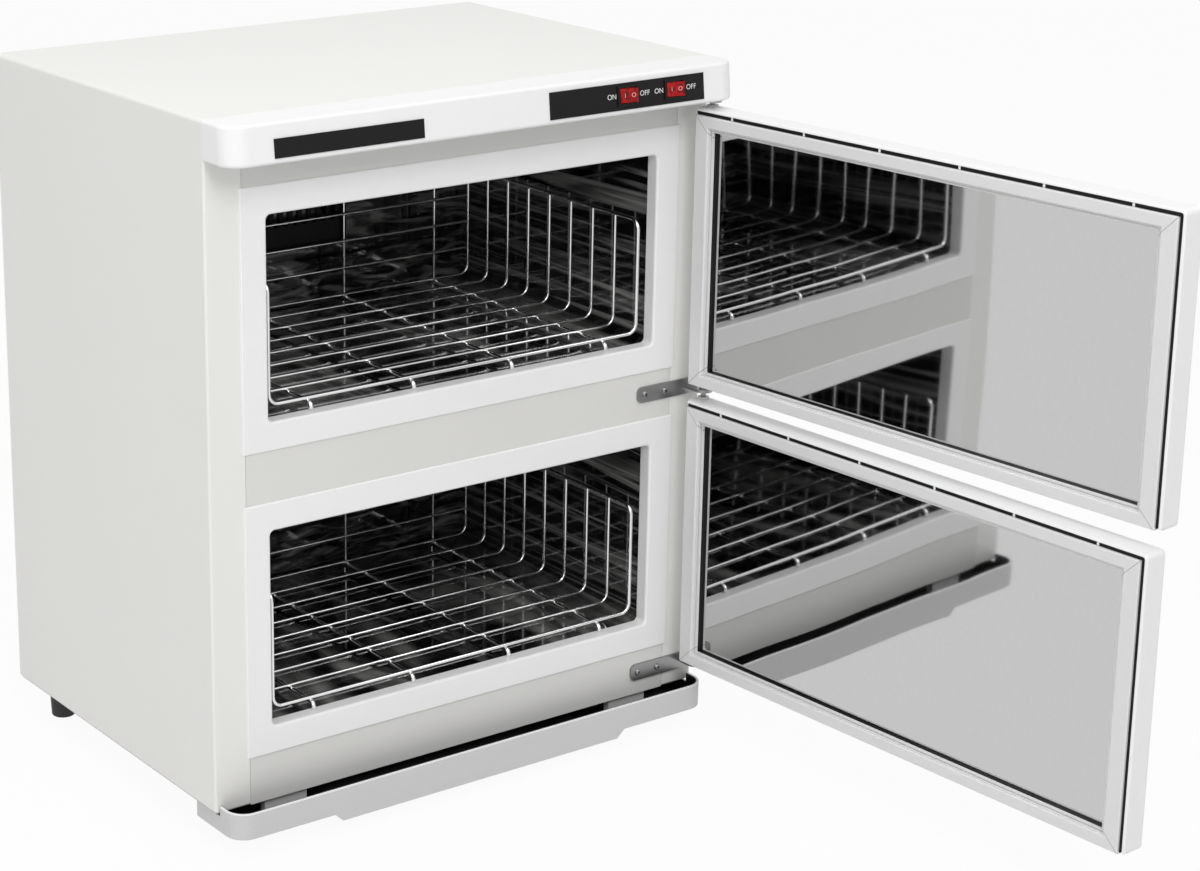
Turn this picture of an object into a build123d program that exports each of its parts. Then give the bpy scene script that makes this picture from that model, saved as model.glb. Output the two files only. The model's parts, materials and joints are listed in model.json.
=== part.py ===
"""Two-chamber warming and sterilising cabinet with side-hinged doors and wire baskets.

Millimetres. The origin is on the floor under the middle of the casing, +Z is up and
the front faces -Y. The doors are modelled open, each turned about its own hinge pins.
"""

from build123d import *
from math import atan2, cos, degrees, radians, sin
import os

os.makedirs("parts", exist_ok=True)

# Casing
CASE_W = 450.0
CASE_D = 312.0
CASE_H = 515.0
CASE_EDGE_R = 3.0
CASE_FRONT_R = 2.0
SHEET = 1.2
FOOT_H = 30.0
FRONT_FLANGE = 30.0
REAR_FLANGE = 14.0
SHEET_GAP = 0.3

# Feet, in from the sides, the back and the front
FOOT_R = 11.0
FOOT_TAPER = 1.5
FOOT_EDGE_R = 1.5
REAR_FOOT_IN = (25.0, 26.0)
FRONT_FOOT_IN = (110.0, 52.0)

# Chambers and their white window frames
WINDOW_SIDE = 49.5
WINDOW_RAIL = 82.0
WINDOW_R = 4.0
FRAME_BORDER = 21.5
FRAME_PROUD = 1.4
FRAME_EDGE_R = 1.0
FRAME_LIP_R = 2.0
REVEAL = 10.0
SLEEVE_T = 4.0
LINER_T = 1.0
REAR_SPACE = 56.0
LINER_SIDE_ROOM = 2.0
LINER_FLANGE = 8.0
UPPER_HEADROOM = 16.0
LOWER_HEADROOM = 4.0

# Heating and lamp
HEATER_SIDE = 27.5
HEATER_END = 28.0
HEATER_T = 2.0
WOOL_T = 15.0
DISC_R = 8.0
DISC_T = 9.0
DISC_FLANGE_R = 12.0
DISC_FLANGE_T = 1.5
FUSE_L = 34.0
FUSE_R = 4.0
LAMP_HOUSING_W = 100.0
LAMP_HOUSING_H = 82.0
LAMP_HOUSING_D = 16.0
LAMP_DOWN = 34.0
LAMP_WALL = 2.0
LAMP_SLOT_W = 5.0
LAMP_SLOT_PITCH = 9.0
LAMP_SLOTS = 9
LAMP_SOCKET_R = 6.8
LAMP_SOCKET_L = 22.0
LAMP_BULB_R = 6.0
LAMP_BULB_L = 60.0
BALLAST_SIZE = (86.0, 36.0, 40.0)
BALLAST_CORE_L = 54.0
BALLAST_FOOT_T = 3.0
TERMINAL_PITCH = 11.0
TERMINAL_WAYS = 5
TERMINAL_SIZE = (16.0, 14.0)
TERMINAL_SCREW_R = 2.5

# Fascia over the doors, deeper at its lower edge
FASCIA_H = 29.0
FASCIA_GAP = 7.0
FASCIA_DEPTH = 36.0
FASCIA_DRAFT = 3.0
FASCIA_CORNER_R = 16.0
FASCIA_EDGE_R = 2.5
FASCIA_WALL = 2.5
PLATE_T = 0.8
NAME_PLATE_W = 123.5
NAME_PLATE_H = 13.5
NAME_PLATE_IN = 97.5
NAME_PLATE_DOWN = 3.5
SWITCH_PLATE_W = 145.0
SWITCH_PLATE_H = 20.0
SWITCH_PLATE_IN = 107.5
SWITCH_PLATE_DOWN = 0.5
SWITCH_ALONG = (-0.5, 44.0)
BEZEL_W = 20.0
BEZEL_H = 15.0
BEZEL_T = 1.2
SWITCH_BODY_W = 18.8
SWITCH_BODY_H = 13.6
SWITCH_BODY_D = 16.0
SWITCH_CAVITY_W = 16.8
SWITCH_CAVITY_H = 11.6
SWITCH_CAVITY_D = 8.0
ROCKER_W = 15.2
ROCKER_H = 10.6
ROCKER_FRONT = 3.2
ROCKER_DIP = 0.8
ROCKER_BACK = 3.5
ROCKER_TAPER = 1.0
ROCKER_TILT = 8.0
ROCKER_STUB_R = 1.0
ROCKER_STUB_L = 1.1
FIT = 0.05
CUTOUT_GAP = 0.2

# Doors, measured from the hinge axis: along the door, up, and towards its inner side
DOOR_SIDE = 3.0
DOOR_GAP = 13.0
DOOR_RAISE = 2.0
DOOR_OVER_TRAY = 20.0
UPPER_DOOR_ANGLE = 95.0
LOWER_DOOR_ANGLE = 93.5
HINGE_IN = 6.5
HINGE_OUT = 17.0
SHELL_D = 21.0
SHELL_WALL = 2.0
SHELL_SKIN = 2.0
SHELL_CORNER_R = 4.0
SHELL_EDGE_R = 3.0
RIM_EDGE_R = 1.5
RIM_BACK = 1.5
GROOVE_W = 3.0
GASKET_GAP = 0.3
GASKET_SIDE = 13.0
GASKET_BAR = 9.0
GASKET_EDGE_R = 1.0
GASKET_T = 5.0
LEDGE_W = 1.0
LEDGE_DROP = 1.5
SLIT_W = 0.8
SLIT_DROP = 3.8
BEAD_W = 1.2
BEAD_DROP = 3.0
LIP_T = 3.0
RIM_RELIEF = 6.0
MIRROR_T = 1.0
MIRROR_TUCK = 4.0
RIB_DOWN = 0.8
GROOVE_TICKS = 6
TICK_W = 2.0
GRIP_L = 84.0
GRIP_W = 18.0
GRIP_DEPTH = 10.0
GRIP_ROOM = 2.0
GRIP_WALL = 2.0
GRIP_R = 6.0

# Hinges
TAB_T = 2.5
PLATE_LEAF_T = 2.0
LEAF_L = 45.0
LEAF_IN = 16.0
LEAF_HEIGHTS = {"top": (3.0, 1.0), "middle": (5.0, 5.0), "bottom": (8.0, 3.0)}
TAB_CLEAR = 3.25
TAB_HALF_W = 7.0
PIN_R = 2.0
PIN_HEAD_R = 3.5
PIN_HEAD_T = 1.0
BUSH_R = 3.0
BUSH_L = 11.0
BUSH_FLANGE_R = 4.5
BUSH_FLANGE_T = 0.85
PIN_IN_DOOR = 10.0
RUN_GAP = 0.3
SCREW_R = 1.75
SCREW_HOLE_R = 2.0
SCREW_HEAD_R = 2.6
SCREW_HEAD_T = 1.5
SCREW_L = 9.0
LEAF_SCREW_AT = (7.0, 27.0)

# Wire baskets
BASKET_SIDE_GAP = 7.5
BASKET_FRONT_IN = 11.0
BASKET_WIRES = 9
BASKET_PITCH = 28.0
BASKET_FLOOR_UP = 8.5
BASKET_HEADROOM = 61.0
WIRE_R = 1.25
RIM_R = 1.5
RUNNER_R = 1.75
WIRE_BEND_R = 8.0
WIRE_TAIL = 4.0
WELD = 0.3
RUNNER_IN = 33.0
RUNNERS = 4
RUNNER_BEND_R = 4.0
BACK_RAILS = 4

# Drip tray under the doors, hung on two tongues in guides under the base
TRAY_SIDE = 3.0
TRAY_OUT = 25.0
TRAY_IN = 32.0
TRAY_CORNER_R = 16.0
TRAY_WALL = 2.2
TRAY_RIM_UP = 6.0
TRAY_FLOOR_DOWN = 14.5
TRAY_UNDER_GAP = 1.5
LIP_DROP = 6.0
LIP_HALF_L = 130.0
LIP_SLOPE = 9.0
TONGUE_IN = 63.0
TONGUE_W = 30.0
TONGUE_T = 4.0
TONGUE_L = 136.0
POST_T = 6.0
POST_IN = 4.0
GUIDE_WALL = 3.0
GUIDE_L = 150.0

# Rear
VENT_L = 44.0
VENT_W = 4.0
VENT_PITCH = 10.0
VENT_ROWS = 8
VENT_DOWN = 75.0
VENT_X = 90.0
GLAND_IN = 75.0
GLAND_UP = 48.0
GLAND_R = 11.0
GLAND_T = 4.0
GLAND_BODY_R = 7.0
GLAND_BODY_L = 10.0
GLAND_BORE_R = 3.6
REAR_SCREW_IN = 40.0

# Places that follow from the sizes
FRONT_Y = -CASE_D / 2
BACK_Y = CASE_D / 2
BASE_Z = FOOT_H
TOP_Z = BASE_Z + CASE_H
FRONT = Plane.XZ.offset(-FRONT_Y)
REAR = Plane.XZ.offset(-BACK_Y)
DOOR_OVER_WINDOW = (WINDOW_RAIL - DOOR_GAP) / 2
TOP_RAIL = FASCIA_H + FASCIA_GAP + DOOR_OVER_WINDOW + DOOR_RAISE
BOTTOM_RAIL = TRAY_RIM_UP + DOOR_OVER_TRAY + DOOR_OVER_WINDOW - DOOR_RAISE
WINDOW_H = (CASE_H - TOP_RAIL - WINDOW_RAIL - BOTTOM_RAIL) / 2
WINDOW_W = CASE_W - 2 * WINDOW_SIDE
CHAMBER_PITCH = WINDOW_H + WINDOW_RAIL
LOWER_WINDOW_UP = BOTTOM_RAIL + WINDOW_H / 2
CENTRE_Z = {"lower": BASE_Z + LOWER_WINDOW_UP, "upper": BASE_Z + LOWER_WINDOW_UP + CHAMBER_PITCH}
HEADROOM = {"lower": LOWER_HEADROOM, "upper": UPPER_HEADROOM}
DOOR_ANGLE = {"lower": LOWER_DOOR_ANGLE, "upper": UPPER_DOOR_ANGLE}
CHAMBERS = ("upper", "lower")
SIDES = {"left": -1.0, "right": 1.0}
DOOR_W = CASE_W - 2 * DOOR_SIDE
DOOR_H = CHAMBER_PITCH - DOOR_GAP
FRAME_W = WINDOW_W + 2 * FRAME_BORDER
FRAME_H = WINDOW_H + 2 * FRAME_BORDER
FLOOR_Z = {name: CENTRE_Z[name] - WINDOW_H / 2 for name in CHAMBERS}
CEILING_Z = {name: CENTRE_Z[name] + WINDOW_H / 2 + HEADROOM[name] for name in CHAMBERS}
LINER_FRONT_Y = FRONT_Y + REVEAL
LINER_D = CASE_D - REVEAL - REAR_SPACE
LINER_BACK_Y = LINER_FRONT_Y + LINER_D
LINER_W = WINDOW_W + 2 * LINER_SIDE_ROOM
HEATER_W = LINER_W - 2 * HEATER_SIDE
HEATER_D = LINER_D - 2 * HEATER_END
PANEL_FRONT_Y = BACK_Y - 2 * SHEET
PANEL_BACK_Y = BACK_Y - SHEET
HINGE_X = DOOR_W / 2 - HINGE_IN
HINGE_Y = FRONT_Y - HINGE_OUT
MIDDLE_CLEAR = (DOOR_GAP - TAB_T) / 2
DOOR_Z = {name: CENTRE_Z[name] + DOOR_RAISE for name in CHAMBERS}
TAB_Z = {
    "top": DOOR_Z["upper"] + DOOR_H / 2 + TAB_CLEAR + TAB_T / 2,
    "middle": DOOR_Z["lower"] + DOOR_H / 2 + DOOR_GAP / 2,
    "bottom": DOOR_Z["lower"] - DOOR_H / 2 - TAB_CLEAR - TAB_T / 2,
}
FASCIA_Z = TOP_Z - FASCIA_H
NAME_PLATE_X = NAME_PLATE_IN - CASE_W / 2
SWITCH_PLATE_X = CASE_W / 2 - SWITCH_PLATE_IN
SWITCH_X = [SWITCH_PLATE_X + along for along in SWITCH_ALONG]
BASKET_HALF_W = WINDOW_W / 2 - BASKET_SIDE_GAP
BASKET_SIDE_H = WINDOW_H - BASKET_HEADROOM
RUNNER_PITCH = 2 * (BASKET_HALF_W - RUNNER_IN) / (RUNNERS - 1)
TRAY_W = CASE_W - 2 * TRAY_SIDE
TONGUE_X = CASE_W / 2 - TONGUE_IN
GLAND_X = CASE_W / 2 - GLAND_IN
REAR_SCREW_UP = (REAR_SCREW_IN, CASE_H / 2, CASE_H - REAR_SCREW_IN)


def keep(builder, name):
    """Label a finished piece and write it."""
    builder.part.label = name
    export_step(builder.part, f"parts/{name}.step")


def mid(low, high):
    return (low + high) / 2


# Outer casing: one sheet folded over both sides and the top, with return flanges
with BuildPart() as casing:
    with BuildSketch(FRONT) as wrap:
        with Locations((0, BASE_Z)):
            Rectangle(CASE_W, CASE_H, align=(Align.CENTER, Align.MIN))
        fillet(wrap.vertices().group_by(Axis.Z)[-1], CASE_EDGE_R)
    extrude(amount=-CASE_D)
    fillet(casing.faces().sort_by(Axis.Y)[0].edges().sort_by(Axis.Z)[1:], CASE_FRONT_R)
    with BuildSketch(FRONT.offset(-SHEET)):
        with Locations((0, BASE_Z)):
            Rectangle(CASE_W - 2 * SHEET, CASE_H - SHEET, align=(Align.CENTER, Align.MIN))
    extrude(amount=2 * SHEET - CASE_D, mode=Mode.SUBTRACT)
    with BuildSketch(FRONT):
        with Locations((0, BASE_Z)):
            Rectangle(CASE_W - 2 * FRONT_FLANGE, CASE_H - SHEET, align=(Align.CENTER, Align.MIN))
    extrude(amount=-SHEET, mode=Mode.SUBTRACT)
    with BuildSketch(REAR):
        with Locations((0, BASE_Z)):
            Rectangle(CASE_W - 2 * REAR_FLANGE, CASE_H - REAR_FLANGE, align=(Align.CENTER, Align.MIN))
        for side in SIDES.values():
            for up in REAR_SCREW_UP:
                with Locations((side * (CASE_W - REAR_FLANGE) / 2, BASE_Z + up)):
                    Circle(SCREW_HOLE_R)
    extrude(amount=SHEET, mode=Mode.SUBTRACT)
keep(casing, "outer_casing")

# Base plate with its sides turned up inside the casing
with BuildPart() as base:
    with BuildSketch(Plane.XY.offset(BASE_Z)):
        with Locations((0, mid(FRONT_Y + SHEET, PANEL_FRONT_Y))):
            Rectangle(CASE_W - 2 * SHEET, PANEL_FRONT_Y - FRONT_Y - SHEET - SHEET_GAP)
    extrude(amount=SHEET)
    with BuildSketch(Plane.XY.offset(BASE_Z)):
        for side in SIDES.values():
            with Locations((side * (CASE_W - 3 * SHEET) / 2, mid(FRONT_Y + SHEET, PANEL_FRONT_Y))):
                Rectangle(SHEET, PANEL_FRONT_Y - FRONT_Y - SHEET - SHEET_GAP)
    extrude(amount=REAR_FLANGE)
keep(base, "base_plate")

# Rear panel behind the rear flanges, with two banks of vent slots and the cord hole
with BuildPart() as rear_panel:
    with BuildSketch(Plane.XZ.offset(-PANEL_BACK_Y)):
        with Locations((0, mid(BASE_Z + SHEET_GAP, TOP_Z - SHEET - SHEET_GAP))):
            Rectangle(CASE_W - 2 * (SHEET + SHEET_GAP), CASE_H - SHEET - 2 * SHEET_GAP)
        with Locations((0, TOP_Z - VENT_DOWN)):
            with GridLocations(2 * VENT_X, VENT_PITCH, 2, VENT_ROWS):
                SlotOverall(VENT_L, VENT_W, mode=Mode.SUBTRACT)
        with Locations((GLAND_X, BASE_Z + GLAND_UP)):
            Circle(GLAND_BODY_R + FIT, mode=Mode.SUBTRACT)
        for side in SIDES.values():
            for up in REAR_SCREW_UP:
                with Locations((side * (CASE_W - REAR_FLANGE) / 2, BASE_Z + up)):
                    Circle(SCREW_HOLE_R, mode=Mode.SUBTRACT)
    extrude(amount=SHEET)
keep(rear_panel, "rear_panel")

with BuildPart() as rear_screws:
    for side in SIDES.values():
        for up in REAR_SCREW_UP:
            screw_at = (side * (CASE_W - REAR_FLANGE) / 2, BASE_Z + up)
            with BuildSketch(REAR):
                with Locations(screw_at):
                    Circle(SCREW_HEAD_R)
            extrude(amount=-SCREW_HEAD_T)
            with BuildSketch(REAR):
                with Locations(screw_at):
                    Circle(SCREW_R)
            extrude(amount=SCREW_L)
keep(rear_screws, "rear_screws")

with BuildPart() as gland:
    with BuildSketch(Plane.XZ.offset(-PANEL_BACK_Y)):
        with Locations((GLAND_X, BASE_Z + GLAND_UP)):
            Circle(GLAND_R)
    extrude(amount=-GLAND_T)
    fillet(gland.edges().group_by(Axis.Y)[-1], GLAND_T / 3)
    with BuildSketch(Plane.XZ.offset(-PANEL_BACK_Y)):
        with Locations((GLAND_X, BASE_Z + GLAND_UP)):
            Circle(GLAND_BODY_R)
    extrude(amount=GLAND_BODY_L)
    with BuildSketch(Plane.XZ.offset(-PANEL_BACK_Y)):
        with Locations((GLAND_X, BASE_Z + GLAND_UP)):
            Circle(GLAND_BORE_R)
    extrude(amount=GLAND_BODY_L, both=True, mode=Mode.SUBTRACT)
keep(gland, "cord_gland")

# Rubber feet
foot_places = []
for side in SIDES.values():
    foot_places.append((side * (CASE_W / 2 - REAR_FOOT_IN[0]), BACK_Y - REAR_FOOT_IN[1], 0))
    foot_places.append((side * (CASE_W / 2 - FRONT_FOOT_IN[0]), FRONT_Y + FRONT_FOOT_IN[1], 0))
with BuildPart() as foot:
    Cone(FOOT_R - FOOT_TAPER, FOOT_R, FOOT_H, align=(Align.CENTER, Align.CENTER, Align.MIN))
    fillet(foot.edges().group_by(Axis.Z)[0], FOOT_EDGE_R)
with BuildPart() as feet:
    with Locations(*foot_places):
        add(foot.part)
keep(feet, "feet")

# Front panel between the casing's front flanges
PANEL_W = CASE_W - 2 * FRONT_FLANGE - 2 * SHEET_GAP
CUTOUT_W = WINDOW_W + 2 * (SLEEVE_T + CUTOUT_GAP)
CUTOUT_H = WINDOW_H + 2 * (SLEEVE_T + CUTOUT_GAP)
LEAF_X = HINGE_X + TAB_HALF_W - LEAF_IN - LEAF_L
leaf_screws = [(LEAF_X + along, TAB_Z[name] + mid(-low, high))
               for name, (low, high) in LEAF_HEIGHTS.items() for along in LEAF_SCREW_AT]
with BuildPart() as front_panel:
    with BuildSketch(FRONT):
        with Locations((0, mid(BASE_Z, TOP_Z - SHEET - SHEET_GAP))):
            Rectangle(PANEL_W, CASE_H - SHEET - SHEET_GAP)
        for chamber in CHAMBERS:
            with Locations((0, CENTRE_Z[chamber])):
                RectangleRounded(CUTOUT_W, CUTOUT_H, WINDOW_R, mode=Mode.SUBTRACT)
        with Locations(*leaf_screws):
            Circle(SCREW_HOLE_R, mode=Mode.SUBTRACT)
    extrude(amount=-SHEET)
keep(front_panel, "front_panel")

# Chambers: window frame, liner, heater mat, insulation and thermostat
HEATER_Y = mid(LINER_FRONT_Y, LINER_BACK_Y)
for chamber in CHAMBERS:
    centre, floor, ceiling = CENTRE_Z[chamber], FLOOR_Z[chamber], CEILING_Z[chamber]
    with BuildPart() as window_frame:
        with BuildSketch(FRONT):
            with Locations((0, centre)):
                Rectangle(FRAME_W, FRAME_H)
        extrude(amount=FRAME_PROUD)
        fillet(window_frame.faces().sort_by(Axis.Y)[0].edges(), FRAME_EDGE_R)
        with BuildSketch(FRONT):
            with Locations((0, centre)):
                RectangleRounded(WINDOW_W + 2 * SLEEVE_T, WINDOW_H + 2 * SLEEVE_T, WINDOW_R)
        extrude(amount=-REVEAL)
        with BuildSketch(FRONT.offset(FRAME_PROUD)):
            with Locations((0, centre)):
                RectangleRounded(WINDOW_W, WINDOW_H, WINDOW_R)
        extrude(amount=-FRAME_PROUD - REVEAL, mode=Mode.SUBTRACT)
        fillet(window_frame.faces().sort_by(Axis.Y)[0].inner_wires()[0].edges(), FRAME_LIP_R)
    keep(window_frame, f"{chamber}_window_frame")

    with BuildPart() as liner:
        with BuildSketch(Plane.XZ.offset(-LINER_FRONT_Y)):
            with Locations((0, mid(floor, ceiling))):
                Rectangle(LINER_W + 2 * LINER_T, ceiling - floor + 2 * LINER_T)
        extrude(amount=-LINER_D - LINER_T)
        with BuildSketch(Plane.XZ.offset(-LINER_FRONT_Y)):
            with Locations((0, mid(floor, ceiling))):
                Rectangle(LINER_W + 2 * LINER_FLANGE, ceiling - floor + 2 * LINER_FLANGE)
        extrude(amount=-LINER_T)
        with BuildSketch(Plane.XZ.offset(-LINER_FRONT_Y - LINER_T)):
            with Locations((0, mid(floor, ceiling))):
                Rectangle(LINER_W, ceiling - floor)
        extrude(amount=LINER_T - LINER_D, mode=Mode.SUBTRACT)
        with BuildSketch(Plane.XZ.offset(-LINER_FRONT_Y)):
            with Locations((0, floor)):
                Rectangle(LINER_W, WINDOW_H + LINER_SIDE_ROOM, align=(Align.CENTER, Align.MIN))
        extrude(amount=-LINER_T, mode=Mode.SUBTRACT)
    keep(liner, f"{chamber}_liner")

    with BuildPart() as heater:
        with BuildSketch(Plane.XY.offset(floor - LINER_T)):
            with Locations((0, HEATER_Y)):
                RectangleRounded(HEATER_W, HEATER_D, WINDOW_R)
        extrude(amount=-HEATER_T)
    keep(heater, f"{chamber}_heater_mat")

    with BuildPart() as insulation:
        with BuildSketch(Plane.XZ.offset(-LINER_FRONT_Y - LINER_T)):
            with Locations((0, mid(floor, ceiling))):
                Rectangle(LINER_W + 2 * (LINER_T + WOOL_T), ceiling - floor + 2 * (LINER_T + WOOL_T))
                Rectangle(LINER_W + 2 * LINER_T, ceiling - floor + 2 * LINER_T, mode=Mode.SUBTRACT)
        extrude(amount=-LINER_D)
        with BuildSketch(Plane.XY.offset(floor - LINER_T)):
            with Locations((0, HEATER_Y)):
                RectangleRounded(HEATER_W + 2 * CUTOUT_GAP, HEATER_D + 2 * CUTOUT_GAP, WINDOW_R)
        extrude(amount=-HEATER_T, mode=Mode.SUBTRACT)
    keep(insulation, f"{chamber}_insulation")

    disc_plane = Plane.XZ.offset(-LINER_BACK_Y - LINER_T)
    with BuildPart() as thermostat:
        with BuildSketch(disc_plane):
            with Locations((-HEATER_W / 3, mid(floor, centre))):
                Circle(DISC_FLANGE_R)
        extrude(amount=-DISC_FLANGE_T)
        with BuildSketch(disc_plane):
            with Locations((-HEATER_W / 3, mid(floor, centre))):
                Circle(DISC_R)
        extrude(amount=-DISC_T)
    keep(thermostat, f"{chamber}_thermostat")

# Thermal fuse clipped to the back of the upper liner
with BuildPart() as thermal_fuse:
    with BuildSketch(Plane.YZ.offset(-FUSE_L / 2)):
        with Locations((LINER_BACK_Y + LINER_T + FUSE_R, mid(FLOOR_Z["upper"], CENTRE_Z["upper"]))):
            Circle(FUSE_R)
    extrude(amount=FUSE_L)
    fillet(thermal_fuse.edges(), FUSE_R / 4)
keep(thermal_fuse, "thermal_fuse")

# Ultraviolet lamp: a slotted black housing on the upper chamber's back wall
LAMP_LOW_Z = CEILING_Z["upper"] - LAMP_DOWN - LAMP_HOUSING_H
LAMP_MID_Z = LAMP_LOW_Z + LAMP_HOUSING_H / 2
LAMP_BACK = Plane.XZ.offset(-LINER_BACK_Y)
with BuildPart() as lamp_housing:
    with BuildSketch(LAMP_BACK):
        with Locations((0, LAMP_MID_Z)):
            Rectangle(LAMP_HOUSING_W, LAMP_HOUSING_H)
    extrude(amount=LAMP_HOUSING_D)
    fillet(lamp_housing.faces().sort_by(Axis.Y)[0].edges(), LAMP_WALL)
    with BuildSketch(LAMP_BACK):
        with Locations((0, LAMP_MID_Z)):
            Rectangle(LAMP_HOUSING_W - 2 * LAMP_WALL, LAMP_HOUSING_H - 2 * LAMP_WALL)
    extrude(amount=LAMP_HOUSING_D - LAMP_WALL, mode=Mode.SUBTRACT)
    with BuildSketch(LAMP_BACK.offset(LAMP_HOUSING_D)):
        with Locations((0, LAMP_MID_Z)):
            with GridLocations(LAMP_SLOT_PITCH, LAMP_HOUSING_H, LAMP_SLOTS, 1):
                SlotOverall(LAMP_HOUSING_H / 2, LAMP_SLOT_W, rotation=90)
    extrude(amount=-2 * LAMP_WALL, mode=Mode.SUBTRACT)
keep(lamp_housing, "lamp_housing")

LAMP_AXIS_Y = LINER_BACK_Y - mid(0, LAMP_HOUSING_D - LAMP_WALL)
LAMP_SOCKET_X = -LAMP_HOUSING_W / 2 + LAMP_WALL
with BuildPart() as lamp_socket:
    with BuildSketch(Plane.YZ.offset(LAMP_SOCKET_X)):
        with Locations((LAMP_AXIS_Y, LAMP_MID_Z)):
            Circle(LAMP_SOCKET_R)
    extrude(amount=LAMP_SOCKET_L)
keep(lamp_socket, "lamp_socket")

with BuildPart() as lamp_bulb:
    with BuildSketch(Plane.YZ.offset(LAMP_SOCKET_X + LAMP_SOCKET_L)):
        with Locations((LAMP_AXIS_Y, LAMP_MID_Z)):
            Circle(LAMP_BULB_R)
    extrude(amount=LAMP_BULB_L)
    fillet(lamp_bulb.edges().group_by(Axis.X)[-1], LAMP_BULB_R - FIT)
keep(lamp_bulb, "lamp_bulb")

# Lamp ballast and terminal block on the rear panel's inner face
INNER_REAR = Plane.XZ.offset(-PANEL_FRONT_Y)
ballast_length, ballast_depth, ballast_height = BALLAST_SIZE
with BuildPart() as ballast:
    with BuildSketch(INNER_REAR):
        with Locations((0, BASE_Z + LOWER_WINDOW_UP)):
            Rectangle(ballast_length, ballast_height / 2)
    extrude(amount=BALLAST_FOOT_T)
    with BuildSketch(INNER_REAR.offset(BALLAST_FOOT_T)):
        with Locations((0, BASE_Z + LOWER_WINDOW_UP)):
            Rectangle(BALLAST_CORE_L, ballast_height)
    extrude(amount=ballast_depth - BALLAST_FOOT_T)
keep(ballast, "lamp_ballast")

terminal_depth, terminal_height = TERMINAL_SIZE
with BuildPart() as terminal_block:
    with BuildSketch(INNER_REAR):
        with Locations((GLAND_X - TERMINAL_PITCH * TERMINAL_WAYS, BASE_Z + 2 * GLAND_UP)):
            Rectangle(TERMINAL_PITCH * TERMINAL_WAYS, terminal_height)
    extrude(amount=terminal_depth)
    with BuildSketch(INNER_REAR.offset(terminal_depth)):
        with Locations((GLAND_X - TERMINAL_PITCH * TERMINAL_WAYS, BASE_Z + 2 * GLAND_UP)):
            with GridLocations(TERMINAL_PITCH, terminal_height, TERMINAL_WAYS, 1):
                Circle(TERMINAL_SCREW_R)
    extrude(amount=-terminal_height / 2, mode=Mode.SUBTRACT)
keep(terminal_block, "terminal_block")

# Fascia moulding, its face leaning back towards the top
FASCIA_TILT = degrees(atan2(FASCIA_DRAFT, FASCIA_H))
with BuildPart() as fascia:
    for height, depth in ((FASCIA_Z, FASCIA_DEPTH), (TOP_Z, FASCIA_DEPTH - FASCIA_DRAFT)):
        with BuildSketch(Plane.XY.offset(height)) as outline:
            with Locations((0, FRONT_Y)):
                Rectangle(CASE_W, depth, align=(Align.CENTER, Align.MAX))
            fillet(outline.vertices().group_by(Axis.Y)[0], FASCIA_CORNER_R)
    loft()
    for end in (0, -1):
        edges = fascia.faces().sort_by(Axis.Z)[end].edges()
        fillet(edges.filter_by(lambda edge: edge.center().Y < FRONT_Y - FASCIA_EDGE_R), FASCIA_EDGE_R)
    hollow_ends = ((FASCIA_Z + FASCIA_WALL, FASCIA_DEPTH), (TOP_Z - FASCIA_WALL, FASCIA_DEPTH - FASCIA_DRAFT))
    for height, depth in hollow_ends:
        with BuildSketch(Plane.XY.offset(height)) as hollow:
            with Locations((0, FRONT_Y)):
                Rectangle(CASE_W - 2 * FASCIA_WALL, depth - FASCIA_WALL, align=(Align.CENTER, Align.MAX))
            fillet(hollow.vertices().group_by(Axis.Y)[0], FASCIA_CORNER_R - FASCIA_WALL)
    loft(mode=Mode.SUBTRACT)
    FACE = Plane(
        origin=(0, FRONT_Y - FASCIA_DEPTH + FASCIA_DRAFT / 2, FASCIA_Z + FASCIA_H / 2),
        x_dir=(1, 0, 0),
        z_dir=(0, -cos(radians(FASCIA_TILT)), sin(radians(FASCIA_TILT))),
    )
    with BuildSketch(FACE):
        for x in SWITCH_X:
            with Locations((x, 0)):
                Rectangle(SWITCH_BODY_W + 2 * CUTOUT_GAP, SWITCH_BODY_H + 2 * CUTOUT_GAP)
    extrude(amount=-2 * FASCIA_WALL, mode=Mode.SUBTRACT)
keep(fascia, "top_fascia")

with BuildPart() as name_plate:
    with BuildSketch(FACE):
        with Locations((NAME_PLATE_X, -NAME_PLATE_DOWN)):
            Rectangle(NAME_PLATE_W, NAME_PLATE_H)
    extrude(amount=PLATE_T)
keep(name_plate, "name_plate")

with BuildPart() as switch_plate:
    with BuildSketch(FACE):
        with Locations((SWITCH_PLATE_X, -SWITCH_PLATE_DOWN)):
            Rectangle(SWITCH_PLATE_W, SWITCH_PLATE_H)
        for x in SWITCH_X:
            with Locations((x, 0)):
                Rectangle(SWITCH_BODY_W + 2 * CUTOUT_GAP, SWITCH_BODY_H + 2 * CUTOUT_GAP, mode=Mode.SUBTRACT)
    extrude(amount=PLATE_T)
keep(switch_plate, "switch_plate")

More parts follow.
